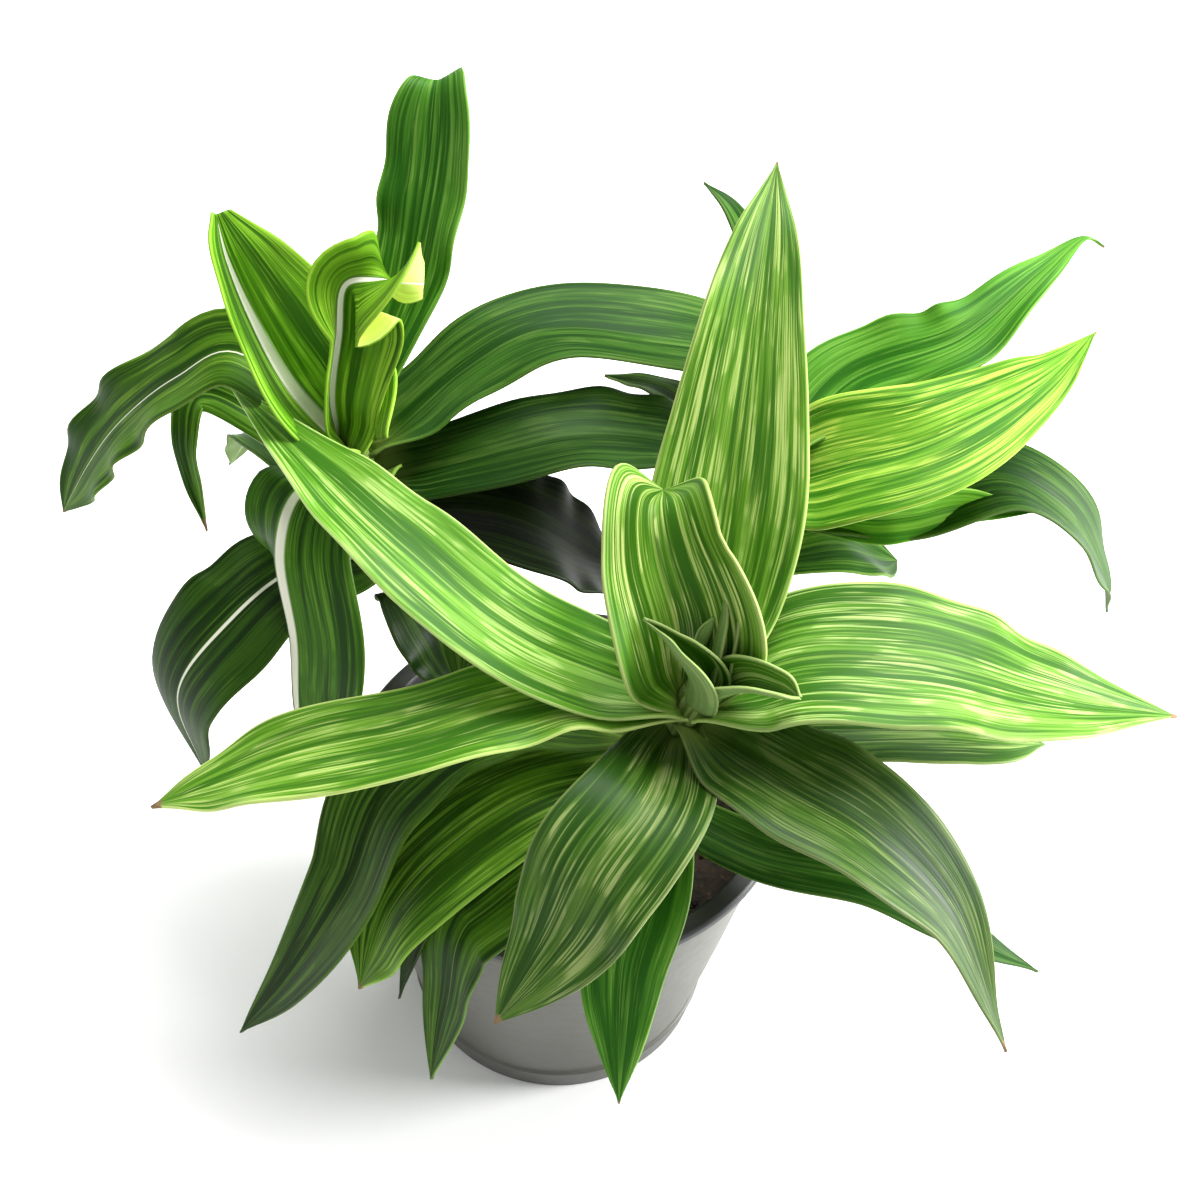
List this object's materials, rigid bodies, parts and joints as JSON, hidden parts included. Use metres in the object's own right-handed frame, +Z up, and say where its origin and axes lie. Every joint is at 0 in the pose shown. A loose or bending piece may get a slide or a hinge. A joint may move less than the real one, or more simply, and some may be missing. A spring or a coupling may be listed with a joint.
{
  "type": "potted callisia",
  "caption": "Leafy potted callisia house plant with arching striped leaves on short stems, in a liner pot set in a tapered round pot.",
  "frame": {"origin": "centre of the outer pot's flat underside, on the surface it stands on", "axes": "+Z up along the pot's axis; -Y towards the front shoot's drooping leaves; +X to the right seen from the front"},
  "size_m": [0.335, 0.24, 0.265],
  "materials": {
    "outer_pot": "satin light grey moulded plastic",
    "liner_pot": "black nursery pot plastic",
    "soil": "dark moist potting mix with crumbs and bark",
    "stem": "pale green stem wrapped in leaf sheaths",
    "leaf_striped": "semi-gloss yellow-green leaf with fine pale and dark lengthwise stripes",
    "leaf_midrib": "glossy deep green leaf with a cream-white midrib",
    "leaf_plain": "glossy plain green leaf with a faint midrib",
    "leaf_shaded": "dark olive green lower leaf with faint pale stripes"
  },
  "bodies": {
    "root": {"outer_pot": "outer_pot", "liner_pot": "liner_pot", "soil": "soil", "front_stem": "stem", "left_stem": "stem", "back_stem": "stem", "front_leaf_upright": "leaf_striped", "front_leaf_left_long": "leaf_striped", "front_leaf_back_left": "leaf_striped", "front_leaf_heart": "leaf_striped", "front_leaf_young": "leaf_striped", "front_leaf_curled": "leaf_striped", "front_leaf_bud": "leaf_striped", "front_leaf_spoon": "leaf_striped", "front_leaf_right_broad": "leaf_striped", "front_leaf_right_drooping": "leaf_striped", "front_leaf_near_drooping": "leaf_striped", "front_leaf_plain": "leaf_shaded", "front_leaf_right_under": "leaf_shaded", "front_leaf_right_low": "leaf_shaded", "front_leaf_torn": "leaf_shaded", "front_leaf_left_narrow": "leaf_shaded", "front_leaf_left_small": "leaf_shaded", "front_leaf_left_low": "leaf_shaded", "left_leaf_wavy": "leaf_midrib", "left_leaf_folded_up": "leaf_midrib", "left_leaf_folded_over": "leaf_midrib", "left_leaf_tall": "leaf_midrib", "left_leaf_right_arching": "leaf_midrib", "left_leaf_right_dark": "leaf_midrib", "left_leaf_inner_dark": "leaf_midrib", "left_leaf_outer_drooping": "leaf_midrib", "left_leaf_near_drooping": "leaf_midrib", "left_leaf_twisted": "leaf_midrib", "left_leaf_under": "leaf_midrib", "left_leaf_inner_low": "leaf_midrib", "left_leaf_short": "leaf_midrib", "left_leaf_rear_low": "leaf_midrib", "left_leaf_rear_outer": "leaf_midrib", "back_leaf_upper_right": "leaf_plain", "back_leaf_pale": "leaf_plain", "back_leaf_right_drooping": "leaf_plain", "back_leaf_edge_on": "leaf_plain", "back_leaf_olive": "leaf_plain", "back_leaf_curled_tip": "leaf_plain", "back_leaf_left_dark": "leaf_plain", "back_leaf_left_low": "leaf_plain", "back_leaf_rear_left": "leaf_plain", "back_leaf_rear_right": "leaf_plain"}
  },
  "joints": []
}
